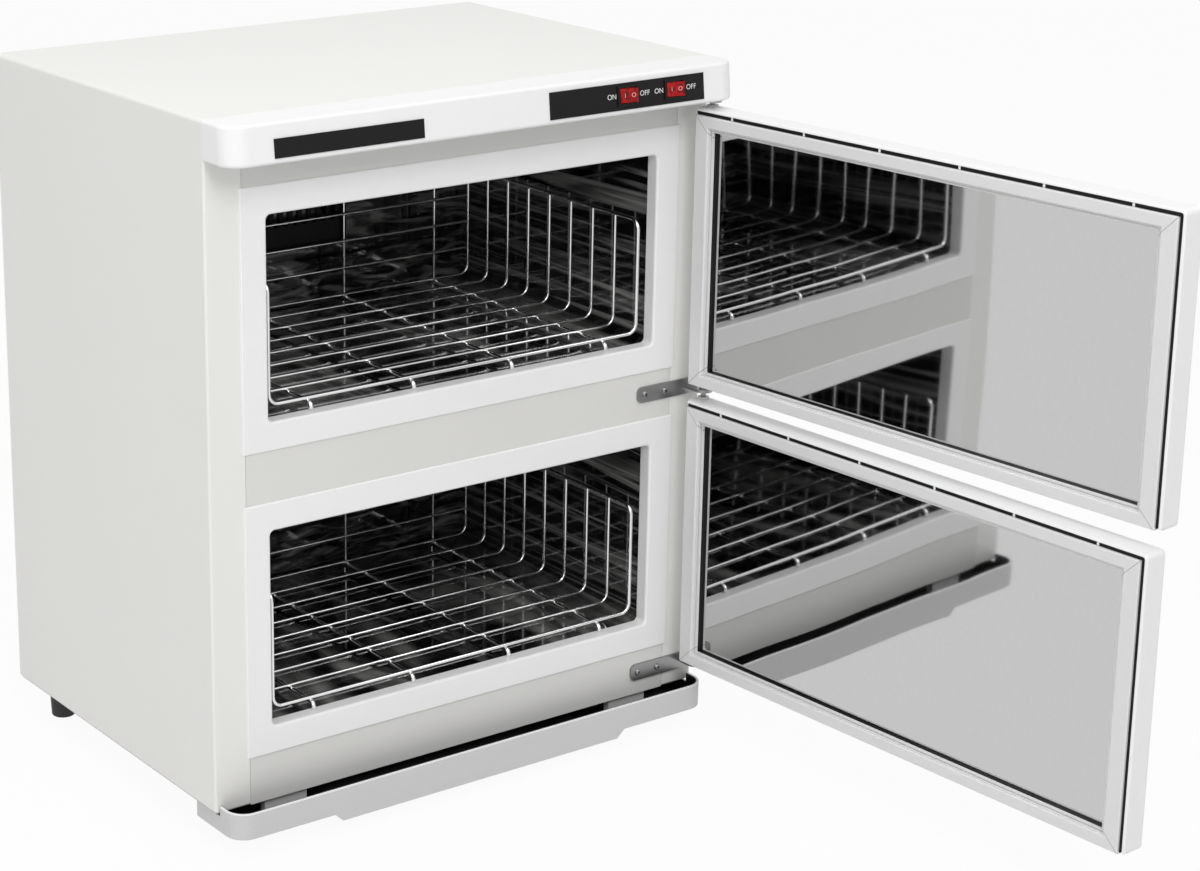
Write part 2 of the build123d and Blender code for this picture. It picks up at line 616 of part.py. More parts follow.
# Rocker switches: bezel and body, and a rocker on two stub pins
BEZEL_FACE = FACE.offset(PLATE_T + BEZEL_T)
PIVOT_UP = FACE.y_dir
for switch, x in zip(("heat", "lamp"), SWITCH_X):
    pivot = FACE.from_local_coords(Vector(x, 0, 0))
    stub_plane = Plane(origin=pivot, x_dir=FACE.x_dir, z_dir=PIVOT_UP)
    with BuildPart() as switch_housing:
        with BuildSketch(FACE.offset(PLATE_T)):
            with Locations((x, 0)):
                Rectangle(BEZEL_W, BEZEL_H)
        extrude(amount=BEZEL_T)
        chamfer(switch_housing.faces().sort_by(Axis.Y)[0].edges(), BEZEL_T / 3)
        with BuildSketch(FACE.offset(PLATE_T)):
            with Locations((x, 0)):
                Rectangle(SWITCH_BODY_W, SWITCH_BODY_H)
        extrude(amount=-SWITCH_BODY_D)
        with BuildSketch(BEZEL_FACE):
            with Locations((x, 0)):
                Rectangle(SWITCH_CAVITY_W, SWITCH_CAVITY_H)
        extrude(amount=-SWITCH_CAVITY_D, mode=Mode.SUBTRACT)
        with BuildSketch(stub_plane):
            Circle(ROCKER_STUB_R + FIT)
        extrude(amount=ROCKER_H / 2 + ROCKER_STUB_L + FIT, both=True, mode=Mode.SUBTRACT)
    keep(switch_housing, f"{switch}_switch_housing")

    with BuildPart() as rocker:
        with BuildSketch(stub_plane.rotated((0, 0, -ROCKER_TILT))):
            with BuildLine():
                Polyline(
                    (-ROCKER_W / 2, -ROCKER_FRONT),
                    (0, ROCKER_DIP - ROCKER_FRONT),
                    (ROCKER_W / 2, -ROCKER_FRONT),
                    (ROCKER_W / 2 - ROCKER_TAPER, ROCKER_BACK),
                    (ROCKER_TAPER - ROCKER_W / 2, ROCKER_BACK),
                    close=True,
                )
            make_face()
        extrude(amount=ROCKER_H / 2, both=True)
        with BuildSketch(stub_plane):
            Circle(ROCKER_STUB_R)
        extrude(amount=ROCKER_H / 2 + ROCKER_STUB_L, both=True)
    keep(rocker, f"{switch}_rocker")

# Hinge brackets: a screwed leaf on the front and a tab out to the pin
for name, (below, above) in LEAF_HEIGHTS.items():
    tab_low = TAB_Z[name] - TAB_T / 2
    with BuildPart() as bracket:
        with BuildSketch(FRONT) as leaf:
            with Locations((LEAF_X, TAB_Z[name] - TAB_T / 2 - below)):
                Rectangle(LEAF_L + LEAF_IN, below + TAB_T + above, align=(Align.MIN, Align.MIN))
            fillet(leaf.vertices().group_by(Axis.X)[0], (below + TAB_T + above) / 3)
            with Locations(*[place for place in leaf_screws if abs(place[1] - TAB_Z[name]) < CHAMBER_PITCH / 3]):
                Circle(SCREW_HOLE_R, mode=Mode.SUBTRACT)
        extrude(amount=PLATE_LEAF_T)
        with BuildSketch(Plane.XY.offset(tab_low)) as tab:
            with Locations((HINGE_X, mid(HINGE_Y, FRONT_Y))):
                Rectangle(2 * TAB_HALF_W, FRONT_Y - HINGE_Y)
            with Locations((HINGE_X, HINGE_Y)):
                Circle(TAB_HALF_W)
                Circle(PIN_R + FIT, mode=Mode.SUBTRACT)
        extrude(amount=TAB_T)
    keep(bracket, f"{name}_hinge_bracket")

with BuildPart() as hinge_screws:
    with BuildSketch(FRONT.offset(PLATE_LEAF_T)):
        with Locations(*leaf_screws):
            Circle(SCREW_HEAD_R)
    extrude(amount=SCREW_HEAD_T)
    fillet(hinge_screws.edges().group_by(Axis.Y)[0], SCREW_HEAD_T / 2)
    with BuildSketch(FRONT.offset(PLATE_LEAF_T)):
        with Locations(*leaf_screws):
            Circle(SCREW_R)
    extrude(amount=-SCREW_L)
keep(hinge_screws, "hinge_screws")

# Hinge pins: headed, with a collar where a door stands on the tab
COLLAR_UNDER = BUSH_FLANGE_T + RUN_GAP
PIN_REACHES = {
    "top": (TAB_CLEAR + PIN_IN_DOOR, PIN_HEAD_T, PIN_HEAD_T),
    "middle": (MIDDLE_CLEAR + PIN_IN_DOOR, MIDDLE_CLEAR + PIN_IN_DOOR, MIDDLE_CLEAR - COLLAR_UNDER),
    "bottom": (PIN_HEAD_T, TAB_CLEAR + PIN_IN_DOOR, TAB_CLEAR - COLLAR_UNDER),
}
with BuildPart() as hinge_pins:
    for name, (reach_down, reach_up, collar) in PIN_REACHES.items():
        with BuildSketch(Plane.XY.offset(TAB_Z[name] - TAB_T / 2 - reach_down)):
            with Locations((HINGE_X, HINGE_Y)):
                Circle(PIN_R)
        extrude(amount=reach_down + TAB_T + reach_up)
        with BuildSketch(Plane.XY.offset(TAB_Z[name] + TAB_T / 2)):
            with Locations((HINGE_X, HINGE_Y)):
                Circle(PIN_HEAD_R)
        extrude(amount=collar)
keep(hinge_pins, "hinge_pins")

# Doors, built on a plane through the hinge axis: x along the door, y up, z to its inner side
FACE_W = HINGE_OUT - GASKET_GAP
RIM_W = HINGE_OUT - RIM_BACK
OUTER_W = RIM_W - SHELL_D
SKIN_W = OUTER_W + SHELL_SKIN
SEAT_W = FACE_W - GASKET_T
MIRROR_W = SEAT_W - LIP_T
RELIEF_W = RIM_W - RIM_RELIEF
NEAR, FAR = -HINGE_IN, DOOR_W - HINGE_IN
POCKET_L = DOOR_W - 2 * SHELL_WALL
POCKET_H = DOOR_H - 2 * SHELL_WALL
GASKET_L = POCKET_L - 2 * GROOVE_W
GASKET_H = POCKET_H - 2 * GROOVE_W + 2 * DOOR_RAISE
TRIM_L = GASKET_L - 2 * GASKET_SIDE
TRIM_H = GASKET_H - 2 * GASKET_BAR
TRIM_W = LEDGE_W + SLIT_W + BEAD_W
SEEN_L = TRIM_L - 2 * TRIM_W
SEEN_H = TRIM_H - 2 * TRIM_W
MIDDLE = mid(NEAR, FAR)
GASKET_NEAR = MIDDLE - GASKET_L / 2
POCKET_LOW = DOOR_RAISE - POCKET_H / 2 + CUTOUT_GAP
INNER_EDGE = MIDDLE + SEEN_L / 2 + MIRROR_TUCK
GRIP_MIDDLE = INNER_EDGE - GRIP_ROOM - GRIP_WALL - GRIP_W / 2
for chamber in CHAMBERS:
    turn = radians(DOOR_ANGLE[chamber])
    door = Plane(
        origin=(HINGE_X, HINGE_Y, CENTRE_Z[chamber]),
        x_dir=(-cos(turn), -sin(turn), 0),
        z_dir=(-sin(turn), cos(turn), 0),
    )
    hinge_line = Plane(origin=door.origin, x_dir=door.x_dir, z_dir=(0, 0, 1))

    with BuildPart() as shell:
        with BuildSketch(door.offset(OUTER_W)):
            with Locations((MIDDLE, DOOR_RAISE)):
                RectangleRounded(DOOR_W, DOOR_H, SHELL_CORNER_R)
        extrude(amount=SHELL_D)
        fillet(shell.faces().sort_by(Axis(door.origin, door.z_dir))[0].edges(), SHELL_EDGE_R)
        fillet(shell.faces().sort_by(Axis(door.origin, door.z_dir))[-1].edges(), RIM_EDGE_R)
        with BuildSketch(door.offset(SKIN_W)):
            with Locations((MIDDLE, DOOR_RAISE)):
                RectangleRounded(POCKET_L, POCKET_H, SHELL_CORNER_R - SHELL_WALL)
        extrude(amount=SHELL_D, mode=Mode.SUBTRACT)
        with BuildSketch(door.offset(RELIEF_W)):
            with Locations((GASKET_NEAR, DOOR_RAISE)):
                Rectangle(DOOR_W, DOOR_H, align=(Align.MAX, Align.CENTER))
            with Locations((MIDDLE, POCKET_LOW)):
                Rectangle(DOOR_W, DOOR_H, align=(Align.CENTER, Align.MAX))
        extrude(amount=SHELL_D, mode=Mode.SUBTRACT)
        with BuildSketch(door.offset(SKIN_W)):
            with Locations((GRIP_MIDDLE, 0)):
                RectangleRounded(GRIP_W + 2 * GRIP_WALL, GRIP_L + 2 * GRIP_WALL, GRIP_R + GRIP_WALL)
        extrude(amount=GRIP_DEPTH + GRIP_WALL - SHELL_SKIN)
        with BuildSketch(door.offset(OUTER_W)):
            with Locations((GRIP_MIDDLE, 0)):
                RectangleRounded(GRIP_W, GRIP_L, GRIP_R)
        extrude(amount=GRIP_DEPTH, mode=Mode.SUBTRACT)
        with BuildSketch(door.offset(RIM_W - RIB_DOWN)):
            with Locations((MIDDLE, DOOR_RAISE + (POCKET_H + SHELL_WALL - GROOVE_W) / 2)):
                with GridLocations(GASKET_L / GROOVE_TICKS, DOOR_H, GROOVE_TICKS, 1):
                    Rectangle(TICK_W, GROOVE_W + SHELL_WALL - 2 * CUTOUT_GAP)
        extrude(amount=RIB_DOWN - RIM_EDGE_R / 2)
        with BuildSketch(hinge_line):
            Circle(BUSH_R + FIT)
        extrude(amount=DOOR_H, both=True, mode=Mode.SUBTRACT)
    keep(shell, f"{chamber}_door_shell")

    with BuildPart() as inner_frame:
        with BuildSketch(door.offset(SKIN_W)):
            with Locations((MIDDLE, DOOR_RAISE)):
                RectangleRounded(POCKET_L - 2 * CUTOUT_GAP, POCKET_H - 2 * CUTOUT_GAP, SHELL_CORNER_R - SHELL_WALL)
            with Locations((MIDDLE, 0)):
                Rectangle(SEEN_L + 2 * MIRROR_TUCK, SEEN_H + 2 * MIRROR_TUCK, mode=Mode.SUBTRACT)
        extrude(amount=MIRROR_W - SKIN_W)
        with BuildSketch(door.offset(MIRROR_W)):
            with Locations((MIDDLE, POCKET_LOW)):
                Rectangle(GASKET_L, GASKET_H / 2 - POCKET_LOW, align=(Align.CENTER, Align.MIN))
            with Locations((MIDDLE, 0)):
                Rectangle(SEEN_L + 2 * CUTOUT_GAP, SEEN_H + 2 * CUTOUT_GAP, mode=Mode.SUBTRACT)
        extrude(amount=LIP_T)
        with BuildSketch(door.offset(MIRROR_W)):
            with Locations((MIDDLE, DOOR_RAISE)):
                RectangleRounded(POCKET_L - 2 * CUTOUT_GAP, POCKET_H - 2 * CUTOUT_GAP, SHELL_CORNER_R - SHELL_WALL)
            with Locations((MIDDLE, 0)):
                Rectangle(GASKET_L + 2 * CUTOUT_GAP, GASKET_H + 2 * CUTOUT_GAP, mode=Mode.SUBTRACT)
            with Locations((GASKET_NEAR, 0)):
                Rectangle(DOOR_W, 2 * DOOR_H, align=(Align.MAX, Align.CENTER), mode=Mode.SUBTRACT)
        extrude(amount=RIM_W - RIB_DOWN - MIRROR_W)
        for end in SIDES.values():
            with BuildSketch(hinge_line.offset(DOOR_RAISE + end * (DOOR_H / 2 - BUSH_L))):
                Circle(BUSH_R + FIT)
            extrude(amount=end * BUSH_L, mode=Mode.SUBTRACT)
    keep(inner_frame, f"{chamber}_door_inner_frame")

    with BuildPart() as foam:
        with BuildSketch(door.offset(SKIN_W)):
            with Locations((MIDDLE, 0)):
                Rectangle(SEEN_L + 2 * (MIRROR_TUCK - CUTOUT_GAP), SEEN_H + 2 * (MIRROR_TUCK - CUTOUT_GAP))
        extrude(amount=MIRROR_W - MIRROR_T - SKIN_W)
        with BuildSketch(door.offset(SKIN_W)):
            with Locations((GRIP_MIDDLE, 0)):
                RectangleRounded(GRIP_W + 4 * GRIP_WALL, GRIP_L + 4 * GRIP_WALL, GRIP_R + 2 * GRIP_WALL)
        extrude(amount=GRIP_DEPTH + GRIP_WALL + CUTOUT_GAP - SHELL_SKIN, mode=Mode.SUBTRACT)
    keep(foam, f"{chamber}_door_foam")

    with BuildPart() as mirror_panel:
        with BuildSketch(door.offset(MIRROR_W - MIRROR_T)):
            with Locations((MIDDLE, 0)):
                Rectangle(SEEN_L + 2 * (MIRROR_TUCK - CUTOUT_GAP), SEEN_H + 2 * (MIRROR_TUCK - CUTOUT_GAP))
        extrude(amount=MIRROR_T)
    keep(mirror_panel, f"{chamber}_door_mirror")

    with BuildPart() as gasket:
        with BuildSketch(door.offset(SEAT_W)):
            with Locations((MIDDLE, 0)):
                Rectangle(GASKET_L, GASKET_H)
                Rectangle(SEEN_L, SEEN_H, mode=Mode.SUBTRACT)
        extrude(amount=GASKET_T)
        steps = (
            (TRIM_L, TRIM_H, LEDGE_W, LEDGE_DROP),
            (TRIM_L - 2 * LEDGE_W, TRIM_H - 2 * LEDGE_W, SLIT_W, SLIT_DROP),
            (SEEN_L + 2 * BEAD_W, SEEN_H + 2 * BEAD_W, BEAD_W, BEAD_DROP),
        )
        for length, height, width, drop in steps:
            with BuildSketch(door.offset(FACE_W)):
                with Locations((MIDDLE, 0)):
                    Rectangle(length, height)
                    Rectangle(length - 2 * width, height - 2 * width, mode=Mode.SUBTRACT)
            extrude(amount=-drop, mode=Mode.SUBTRACT)
        fillet(gasket.faces().sort_by(Axis(door.origin, door.z_dir))[-1].edges(), GASKET_EDGE_R)
    keep(gasket, f"{chamber}_door_gasket")

    with BuildPart() as bushes:
        for end in SIDES.values():
            with BuildSketch(hinge_line.offset(DOOR_RAISE + end * DOOR_H / 2)):
                Circle(BUSH_FLANGE_R)
                Circle(PIN_R + FIT, mode=Mode.SUBTRACT)
            extrude(amount=end * BUSH_FLANGE_T)
            with BuildSketch(hinge_line.offset(DOOR_RAISE + end * DOOR_H / 2)):
                Circle(BUSH_R)
                Circle(PIN_R + FIT, mode=Mode.SUBTRACT)
            extrude(amount=-end * BUSH_L)
    keep(bushes, f"{chamber}_door_bushes")

# Wire baskets: cross wires bent up at both sides, a rim that turns down at the front
BASKET_FRONT_Y = FRONT_Y + BASKET_FRONT_IN
BASKET_D = BASKET_PITCH * (BASKET_WIRES - 1)
BASKET_BACK_Y = BASKET_FRONT_Y + BASKET_D
BASKET_MID_Y = mid(BASKET_FRONT_Y, BASKET_BACK_Y)
STRAIGHT_HALF = BASKET_HALF_W - WIRE_BEND_R - WIRE_TAIL
RUNNER_DROP = RUNNER_R + WIRE_R - WELD
for chamber in CHAMBERS:
    wire_z = FLOOR_Z[chamber] + BASKET_FLOOR_UP
    rim_z = wire_z + BASKET_SIDE_H
    runner_z = wire_z - RUNNER_DROP
    foot_z = FLOOR_Z[chamber] + RUN_GAP

    with BuildPart() as basket_floor:
        with BuildSketch(Plane.YZ.offset(-STRAIGHT_HALF)):
            with Locations((BASKET_MID_Y, wire_z)):
                with GridLocations(BASKET_PITCH, BASKET_D, BASKET_WIRES, 1):
                    Circle(WIRE_R)
            with Locations((BASKET_FRONT_Y, wire_z)):
                Circle(RIM_R)
        extrude(amount=2 * STRAIGHT_HALF)
        for runner in range(RUNNERS):
            x = RUNNER_PITCH * (runner - (RUNNERS - 1) / 2)
            with BuildLine() as runner_path:
                FilletPolyline(
                    (x, BASKET_FRONT_Y - RUNNER_BEND_R, foot_z),
                    (x, BASKET_FRONT_Y - RUNNER_BEND_R, runner_z),
                    (x, BASKET_BACK_Y + RUNNER_BEND_R, runner_z),
                    (x, BASKET_BACK_Y + RUNNER_BEND_R, foot_z),
                    radius=RUNNER_BEND_R,
                )
            with BuildSketch(Plane.XY.offset(foot_z)):
                with Locations((x, BASKET_FRONT_Y - RUNNER_BEND_R)):
                    Circle(RUNNER_R)
            sweep(path=runner_path.wires()[0])
    keep(basket_floor, f"{chamber}_basket_floor")

    for side_name, side in SIDES.items():
        with BuildPart() as basket_side:
            for wire in range(1, BASKET_WIRES):
                y = BASKET_FRONT_Y + wire * BASKET_PITCH
                with BuildLine() as upright:
                    FilletPolyline(
                        (side * STRAIGHT_HALF, y, wire_z),
                        (side * BASKET_HALF_W, y, wire_z),
                        (side * BASKET_HALF_W, y, rim_z),
                        radius=WIRE_BEND_R,
                    )
                with BuildSketch(Plane.YZ.offset(side * STRAIGHT_HALF)):
                    with Locations((y, wire_z)):
                        Circle(WIRE_R)
                sweep(path=upright.wires()[0])
            with BuildLine() as rim:
                FilletPolyline(
                    (side * STRAIGHT_HALF, BASKET_FRONT_Y, wire_z),
                    (side * BASKET_HALF_W, BASKET_FRONT_Y, wire_z),
                    (side * BASKET_HALF_W, BASKET_FRONT_Y, rim_z),
                    (side * BASKET_HALF_W, BASKET_BACK_Y, rim_z),
                    radius=WIRE_BEND_R,
                )
            with BuildSketch(Plane.YZ.offset(side * STRAIGHT_HALF)):
                with Locations((BASKET_FRONT_Y, wire_z)):
                    Circle(RIM_R)
            sweep(path=rim.wires()[0])
        keep(basket_side, f"{chamber}_basket_{side_name}_side")

    rail_pitch = BASKET_SIDE_H / BACK_RAILS
    rail_half = BASKET_HALF_W - RIM_R
    with BuildPart() as basket_back:
        with BuildSketch(Plane.YZ.offset(-rail_half)):
            for rail in range(1, BACK_RAILS + 1):
                with Locations((BASKET_BACK_Y + WELD, wire_z + rail * rail_pitch)):
                    Circle(WIRE_R)
        extrude(amount=2 * rail_half)
        with BuildSketch(Plane.XY.offset(wire_z - WIRE_R + WELD)):
            with Locations((0, BASKET_BACK_Y + 2 * WIRE_R)):
                with GridLocations(RUNNER_PITCH, BASKET_D, RUNNERS, 1):
                    Circle(WIRE_R)
        extrude(amount=BASKET_SIDE_H + 2 * WIRE_R - WELD)
    keep(basket_back, f"{chamber}_basket_back")

# Drip tray: a trough under the doors with a finger lip, and two tongues to the back
RIM_Z = BASE_Z + TRAY_RIM_UP
TROUGH_Z = BASE_Z - TRAY_FLOOR_DOWN
TRAY_FRONT_Y = FRONT_Y - TRAY_OUT
TRAY_BACK_Y = FRONT_Y + TRAY_IN
GUIDE_T = TONGUE_T + 2 * RUN_GAP + 2 * GUIDE_WALL
GUIDE_W = TONGUE_W + 2 * RUN_GAP + 2 * GUIDE_WALL
TONGUE_Z = BASE_Z - GUIDE_WALL - RUN_GAP - TONGUE_T
with BuildPart() as tray:
    with BuildSketch(Plane.XY.offset(TROUGH_Z)) as plan:
        with Locations((0, mid(TRAY_FRONT_Y, TRAY_BACK_Y))):
            Rectangle(TRAY_W, TRAY_OUT + TRAY_IN)
        fillet(plan.vertices().group_by(Axis.Y)[0], TRAY_CORNER_R)
    extrude(amount=RIM_Z - TROUGH_Z)
    fillet(tray.faces().sort_by(Axis.Z)[0].edges().filter_by(lambda edge: edge.center().Y < FRONT_Y), TRAY_WALL / 2)
    with BuildSketch(Plane.XY.offset(TROUGH_Z + TRAY_WALL)) as inside:
        with Locations((0, mid(TRAY_FRONT_Y, TRAY_BACK_Y))):
            Rectangle(TRAY_W - 2 * TRAY_WALL, TRAY_OUT + TRAY_IN - 2 * TRAY_WALL)
        fillet(inside.vertices().group_by(Axis.Y)[0], TRAY_CORNER_R - TRAY_WALL)
    extrude(amount=RIM_Z - TROUGH_Z, mode=Mode.SUBTRACT)
    with BuildSketch(Plane.XY.offset(BASE_Z - TRAY_UNDER_GAP)):
        with Locations((0, FRONT_Y - TRAY_UNDER_GAP)):
            Rectangle(TRAY_W, 2 * TRAY_IN, align=(Align.CENTER, Align.MIN))
    extrude(amount=TRAY_RIM_UP + 2 * TRAY_UNDER_GAP, mode=Mode.SUBTRACT)
    with BuildSketch(Plane.XY.offset(BASE_Z - GUIDE_T - TRAY_UNDER_GAP / 2)):
        for side in SIDES.values():
            with Locations((side * TONGUE_X, TRAY_BACK_Y)):
                Rectangle(GUIDE_W + 2 * TRAY_UNDER_GAP, 3 * TRAY_WALL)
    extrude(amount=GUIDE_T, mode=Mode.SUBTRACT)
    with BuildSketch(Plane.XZ.offset(-TRAY_FRONT_Y)):
        with BuildLine():
            Polyline(
                (-LIP_HALF_L - LIP_SLOPE, TROUGH_Z + TRAY_WALL),
                (-LIP_HALF_L, TROUGH_Z - LIP_DROP),
                (LIP_HALF_L, TROUGH_Z - LIP_DROP),
                (LIP_HALF_L + LIP_SLOPE, TROUGH_Z + TRAY_WALL),
                close=True,
            )
        make_face()
    extrude(amount=-TRAY_WALL)
    for side in SIDES.values():
        with BuildSketch(Plane.XY.offset(TROUGH_Z + TRAY_WALL / 2)):
            with Locations((side * TONGUE_X, FRONT_Y + POST_IN)):
                Rectangle(GUIDE_W, POST_T, align=(Align.CENTER, Align.MIN))
        extrude(amount=BASE_Z - TRAY_UNDER_GAP - TROUGH_Z - TRAY_WALL / 2)
        with BuildSketch(Plane.XY.offset(TONGUE_Z)):
            with Locations((side * TONGUE_X, FRONT_Y + POST_IN)):
                Rectangle(TONGUE_W, POST_T + TONGUE_L, align=(Align.CENTER, Align.MIN))
        extrude(amount=TONGUE_T)
keep(tray, "drip_tray")

# Guides under the base plate for the tray's tongues
for side_name, side in SIDES.items():
    guide_plane = Plane.XZ.offset(-(FRONT_Y + POST_IN + POST_T + RUN_GAP))
    with BuildPart() as guide:
        with BuildSketch(guide_plane):
            with Locations((side * TONGUE_X, BASE_Z - GUIDE_T / 2)):
                Rectangle(GUIDE_W, GUIDE_T)
                Rectangle(TONGUE_W + 2 * RUN_GAP, TONGUE_T + 2 * RUN_GAP, mode=Mode.SUBTRACT)
        extrude(amount=-GUIDE_L)
    keep(guide, f"{side_name}_tray_guide")
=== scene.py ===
"""Studio picture of a two-chamber warming and sterilising cabinet, doors open."""

import json
import math

import bpy
from mathutils import Matrix, Vector


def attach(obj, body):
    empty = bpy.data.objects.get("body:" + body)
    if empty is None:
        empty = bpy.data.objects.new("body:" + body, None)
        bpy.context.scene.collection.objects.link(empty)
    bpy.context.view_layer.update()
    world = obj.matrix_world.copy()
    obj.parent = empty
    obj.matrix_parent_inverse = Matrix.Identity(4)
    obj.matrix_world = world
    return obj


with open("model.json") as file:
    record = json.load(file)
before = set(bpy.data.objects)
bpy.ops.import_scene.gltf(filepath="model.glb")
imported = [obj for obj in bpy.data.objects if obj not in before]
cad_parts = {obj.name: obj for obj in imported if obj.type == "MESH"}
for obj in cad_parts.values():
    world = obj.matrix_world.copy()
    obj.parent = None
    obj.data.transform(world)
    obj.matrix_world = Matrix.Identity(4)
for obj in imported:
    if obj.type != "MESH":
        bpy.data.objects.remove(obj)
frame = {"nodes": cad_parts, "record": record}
nodes = frame["nodes"]
slot_of = {entry["node"]: entry["material_slot"] for entry in frame["record"]["subparts"]}


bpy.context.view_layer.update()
bpy.ops.object.select_all(action="DESELECT")


class Value:
    """A shader socket that takes part in sums."""

    def __init__(self, finish, socket):
        self.finish = finish
        self.socket = socket

    def sum(self, operation, first, second):
        return self.finish.node("ShaderNodeMath", {"operation": operation}, {0: first, 1: second})

    def __add__(self, other):
        return self.sum("ADD", self, other)

    def __radd__(self, other):
        return self.sum("ADD", other, self)

    def __sub__(self, other):
        return self.sum("SUBTRACT", self, other)

    def __rsub__(self, other):
        return self.sum("SUBTRACT", other, self)

    def __mul__(self, other):
        return self.sum("MULTIPLY", self, other)

    def __rmul__(self, other):
        return self.sum("MULTIPLY", other, self)

    def __lt__(self, other):
        return self.sum("LESS_THAN", self, other)

    def __abs__(self):
        return self.sum("ABSOLUTE", self, 0.0)

    def above(self, other):
        return self.sum("MAXIMUM", self, other)

    def below(self, other):
        return self.sum("MINIMUM", self, other)

    def power(self, other):
        return self.sum("POWER", self, other)


class Shader:
    """The nodes of a material or of the world."""

    def __init__(self, owner, main, end):
        owner.use_nodes = True
        self.tree = owner.node_tree
        self.main = self.tree.nodes[main]
        self.end = self.tree.nodes[end]

    def node(self, kind, settings=None, sockets=None, output=0):
        made = self.tree.nodes.new(kind)
        for key, value in (settings or {}).items():
            setattr(made, key, value)
        for key, value in (sockets or {}).items():
            if isinstance(value, Value):
                self.tree.links.new(value.socket, made.inputs[key])
            else:
                made.inputs[key].default_value = value
        return Value(self, made.outputs[output])

    def set(self, **values):
        for key, value in values.items():
            socket = self.main.inputs[key.replace("_", " ")]
            if isinstance(value, Value):
                self.tree.links.new(value.socket, socket)
            else:
                socket.default_value = value

    def ray(self, kind):
        """1 for rays of a kind, such as the camera's, and 0 for all others."""
        return self.node("ShaderNodeLightPath", output=kind)

    def cover(self, share, light):
        """Show a share of a light in place of the main shader."""
        under = Value(self, self.main.outputs[0])
        mixed = self.node("ShaderNodeMixShader", sockets={0: share, 1: under, 2: light})
        self.tree.links.new(mixed.socket, self.end.inputs["Surface"])


class Finish(Shader):
    """A material whose nodes read the shared frame."""

    def __init__(self, name):
        self.material = bpy.data.materials.new(name)
        super().__init__(self.material, "Principled BSDF", "Material Output")
        self.place = self.node("ShaderNodeTexCoord", output="Object")

    def noise(self, scale, detail=2.0):
        sockets = {"Vector": self.place, "Scale": scale, "Detail": detail}
        return self.node("ShaderNodeTexNoise", sockets=sockets)

    def drawn(self, stretch, detail, warp):
        """Noise drawn out along the axes by the stretch of each."""
        place = self.node("ShaderNodeMapping", sockets={"Vector": self.place, "Scale": stretch})
        sockets = {"Vector": place, "Scale": 1.0, "Detail": detail, "Distortion": warp}
        return self.node("ShaderNodeTexNoise", sockets=sockets)

    def axes(self):
        """The place along x, y and z."""
        place = {"Vector": self.place}
        return [self.node("ShaderNodeSeparateXYZ", sockets=place, output=axis) for axis in "XYZ"]

    def step(self, value, low, high):
        """Rises smoothly from 0 at low to 1 at high."""
        settings = {"interpolation_type": "SMOOTHSTEP"}
        return self.node("ShaderNodeMapRange", settings, {0: value, 1: low, 2: high})

    def tint(self, amount, dark, light):
        """From the dark colour at 0 to the light one at 1."""
        sockets = {0: amount, 6: dark, 7: light}
        return self.node("ShaderNodeMix", {"data_type": "RGBA"}, sockets, output=2)

    def bump(self, height, strength, distance):
        sockets = {"Height": height, "Strength": strength, "Distance": distance}
        return self.node("ShaderNodeBump", sockets=sockets)


# Places that the finishes follow, in metres
# The tray's places below bound the painted shade in its trough and the painted highlight along its top
# edge
TRAY_HALF = 0.222
TRAY_FRONT = 0.181
TRAY_ROUND = 0.016
TRAY_BACK_Y = -0.1225
RIM_HIGHLIGHT_Z = (0.0350, 0.0356)
TROUGH_SHADE_WALL = (-0.0021, -0.0014)
TROUGH_SHADE_FLOOR_Z = (0.0160, 0.0168)
POST_X = 0.162
POST_Y = -0.149
POST_REACH = (0.0183, 0.0032)
HINGE_AT = (0.2155, -0.173)
DOOR_MIDDLE = 0.2155
SEAL_HALF_L = 0.217
SEAL_HALF_H = 0.107
SEAL_JOINT = (0.0001, 0.0004)
# Each seal's angle at rest in degrees, and the height of its middle
SEALS = {"upper_door_gasket": (-85.0, 0.397), "lower_door_gasket": (-86.5, 0.164)}
# Depth of the grain in paint and plastic
GRAIN_DEEP = 0.0002


def grey(level, warm=0.0):
    return (level * (1 + warm / 5), level, level * (1 - warm), 1.0)


def paint(name, level, rough, warm=0.026):
    """Satin sheet paint with a faint orange peel."""
    finish = Finish(name)
    cloud = finish.noise(9.0)
    peel = finish.noise(700.0, 1.0)
    finish.set(Base_Color=finish.tint(cloud, grey(level * 0.985, warm), grey(level * 1.015, warm)))
    finish.set(Roughness=cloud * 0.08 + (rough - 0.04), Normal=finish.bump(peel, 0.12, GRAIN_DEEP))
    return finish.material


def moulded(name, colour, rough, grain=1200.0, depth=0.1, shine=0.5):
    """Moulded plastic or rubber with a fine grain."""
    finish = Finish(name)
    speckle = finish.noise(grain, 2.0)
    darker = tuple(part * 0.94 for part in colour[:3]) + (1.0,)
    finish.set(Base_Color=finish.tint(speckle, darker, colour), Specular_IOR_Level=shine)
    finish.set(Roughness=finish.noise(30.0) * 0.1 + (rough - 0.05))
    finish.set(Normal=finish.bump(speckle, depth, GRAIN_DEEP))
    return finish.material


def metal(name, level, rough, wave=0.0, wave_scale=12.0):
    """Bare metal, with a slow wave where the sheet isn't quite flat."""
    finish = Finish(name)
    streak = finish.noise(260.0, 3.0)
    finish.set(Base_Color=finish.tint(streak, grey(level * 0.96), grey(level)), Metallic=1.0)
    finish.set(Roughness=streak * (rough * 0.2) + rough * 0.9)
    if wave:
        finish.set(Normal=finish.bump(finish.noise(wave_scale, 0.5), 1.0, wave))
    return finish.material


